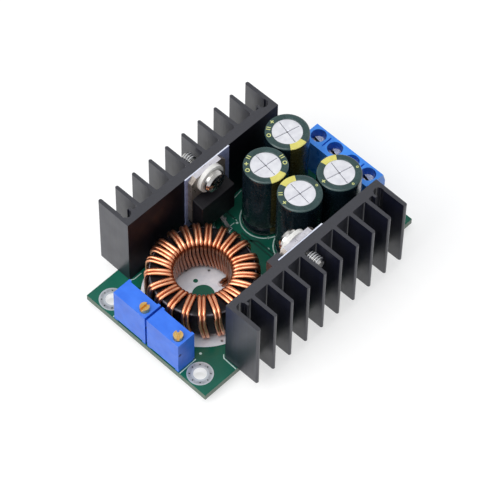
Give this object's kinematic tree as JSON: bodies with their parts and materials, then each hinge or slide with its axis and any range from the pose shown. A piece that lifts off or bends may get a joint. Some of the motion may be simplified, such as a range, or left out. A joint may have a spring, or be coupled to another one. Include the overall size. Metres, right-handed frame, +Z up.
{
  "type": "buck converter module",
  "caption": "Adjustable step-down converter board with toroidal inductor, finned heatsinks, trimmers and screw terminals.",
  "frame": {"origin": "under the middle of the circuit board, level with the lower ends of the heatsink pins that it stands on", "axes": "+X along the board toward the terminal blocks, +Y across it toward the rear heatsink, +Z up"},
  "size_m": [0.065, 0.0476, 0.0246],
  "materials": {
    "board_mask": "glossy green solder mask over glass-fibre laminate",
    "tin": "bright tin-lead solder",
    "black_anodised": "semi-gloss black anodised extrusion",
    "plated_steel": "bright zinc or nickel plate",
    "black_epoxy": "moulded, fine matt",
    "tinned_copper": "tinned, satin",
    "cream_nylon": "moulded, satin",
    "pale_silicone": "soft, matt",
    "core_coating": "dark epoxy coat over iron powder",
    "enamelled_copper": "clear enamel over copper",
    "bare_aluminium": "brushed",
    "green_sleeve": "shrunk sleeve, glossy",
    "black_rubber": "matt",
    "trimmer_blue": "moulded, satin",
    "resin": "cast",
    "ceramic": "fired, matt",
    "brass": "turned, bright",
    "terminal_blue": "moulded, satin",
    "chip_black": "moulded or fired, matt"
  },
  "bodies": {
    "module": {"capacitor_1_can": "bare_aluminium", "capacitor_1_sleeve": "green_sleeve", "capacitor_2_can": "bare_aluminium", "capacitor_2_sleeve": "green_sleeve", "capacitor_3_can": "bare_aluminium", "capacitor_3_sleeve": "green_sleeve", "capacitor_4_can": "bare_aluminium", "capacitor_4_sleeve": "green_sleeve", "capacitor_bungs": "black_rubber", "capacitor_leads": "tinned_copper", "chip_capacitors": "ceramic", "chip_resistors": "chip_black", "circuit_board": "board_mask", "front_heatsink": "black_anodised", "front_insulating_pad": "pale_silicone", "heatsink_pins": "plated_steel", "inductor_core": "core_coating", "inductor_land": "tin", "inductor_wire_1": "enamelled_copper", "inductor_wire_2": "enamelled_copper", "mounting_hole_liners": "tin", "op_amp": "chip_black", "package_screws": "plated_steel", "rear_heatsink": "black_anodised", "rear_insulating_pad": "pale_silicone", "rectifier_case": "black_epoxy", "rectifier_leads": "tinned_copper", "rectifier_tab": "tinned_copper", "regulator_case": "black_epoxy", "regulator_leads": "tinned_copper", "regulator_tab": "tinned_copper", "sense_resistor": "chip_black", "shoulder_washers": "cream_nylon", "small_regulator": "chip_black", "solder_joints": "tin", "terminal_contacts": "brass", "terminal_housing_1": "terminal_blue", "terminal_housing_2": "terminal_blue", "trimmer_1_base": "resin", "trimmer_1_element": "ceramic", "trimmer_1_housing": "trimmer_blue", "trimmer_1_pins": "tinned_copper", "trimmer_2_base": "resin", "trimmer_2_element": "ceramic", "trimmer_2_housing": "trimmer_blue", "trimmer_2_pins": "tinned_copper"},
    "adjuster_1": {"trimmer_1_screw": "brass"},
    "wiper_1": {"trimmer_1_wiper": "resin"},
    "adjuster_2": {"trimmer_2_screw": "brass"},
    "wiper_2": {"trimmer_2_wiper": "resin"},
    "clamp_screw_1": {"terminal_screw_1": "plated_steel"},
    "clamp_1": {"terminal_clamp_1": "plated_steel"},
    "clamp_screw_2": {"terminal_screw_2": "plated_steel"},
    "clamp_2": {"terminal_clamp_2": "plated_steel"},
    "clamp_screw_3": {"terminal_screw_3": "plated_steel"},
    "clamp_3": {"terminal_clamp_3": "plated_steel"},
    "clamp_screw_4": {"terminal_screw_4": "plated_steel"},
    "clamp_4": {"terminal_clamp_4": "plated_steel"}
  },
  "joints": [
    {"name": "adjuster_1_turn", "type": "hinge", "parent": "module", "child": "adjuster_1", "pos_m": [-0.03067, 0.00183, 0.0133], "axis": [0, 0, 1], "range_deg": [-9000, 0]},
    {"name": "wiper_1_travel", "type": "slide", "parent": "module", "child": "wiper_1", "axis": [0, 0, 1], "range_m": [0, 0.0056]},
    {"name": "adjuster_2_turn", "type": "hinge", "parent": "module", "child": "adjuster_2", "pos_m": [-0.03067, -0.00828, 0.0133], "axis": [0, 0, 1], "range_deg": [-9000, 0]},
    {"name": "wiper_2_travel", "type": "slide", "parent": "module", "child": "wiper_2", "axis": [0, 0, 1], "range_m": [0, 0.0056]},
    {"name": "clamp_screw_1_turn", "type": "hinge", "parent": "module", "child": "clamp_screw_1", "pos_m": [0.029, -0.0075, 0.0109], "axis": [0, 0, 1], "range_deg": [-1260, 0]},
    {"name": "clamp_1_rise", "type": "slide", "parent": "module", "child": "clamp_1", "axis": [0, 0, 1], "range_m": [0, 0.00175]},
    {"name": "clamp_screw_2_turn", "type": "hinge", "parent": "module", "child": "clamp_screw_2", "pos_m": [0.029, -0.0025, 0.0109], "axis": [0, 0, 1], "range_deg": [-1260, 0]},
    {"name": "clamp_2_rise", "type": "slide", "parent": "module", "child": "clamp_2", "axis": [0, 0, 1], "range_m": [0, 0.00175]},
    {"name": "clamp_screw_3_turn", "type": "hinge", "parent": "module", "child": "clamp_screw_3", "pos_m": [0.029, 0.0025, 0.0109], "axis": [0, 0, 1], "range_deg": [-1260, 0]},
    {"name": "clamp_3_rise", "type": "slide", "parent": "module", "child": "clamp_3", "axis": [0, 0, 1], "range_m": [0, 0.00175]},
    {"name": "clamp_screw_4_turn", "type": "hinge", "parent": "module", "child": "clamp_screw_4", "pos_m": [0.029, 0.0075, 0.0109], "axis": [0, 0, 1], "range_deg": [-1260, 0]},
    {"name": "clamp_4_rise", "type": "slide", "parent": "module", "child": "clamp_4", "axis": [0, 0, 1], "range_m": [0, 0.00175]}
  ],
  "couplings": [
    {"joint": "adjuster_1_turn", "follows": "wiper_1_travel", "rad_per_m": -28050},
    {"joint": "adjuster_2_turn", "follows": "wiper_2_travel", "rad_per_m": -28050},
    {"joint": "clamp_screw_1_turn", "follows": "clamp_1_rise", "rad_per_m": -12566},
    {"joint": "clamp_screw_2_turn", "follows": "clamp_2_rise", "rad_per_m": -12566},
    {"joint": "clamp_screw_3_turn", "follows": "clamp_3_rise", "rad_per_m": -12566},
    {"joint": "clamp_screw_4_turn", "follows": "clamp_4_rise", "rad_per_m": -12566}
  ]
}
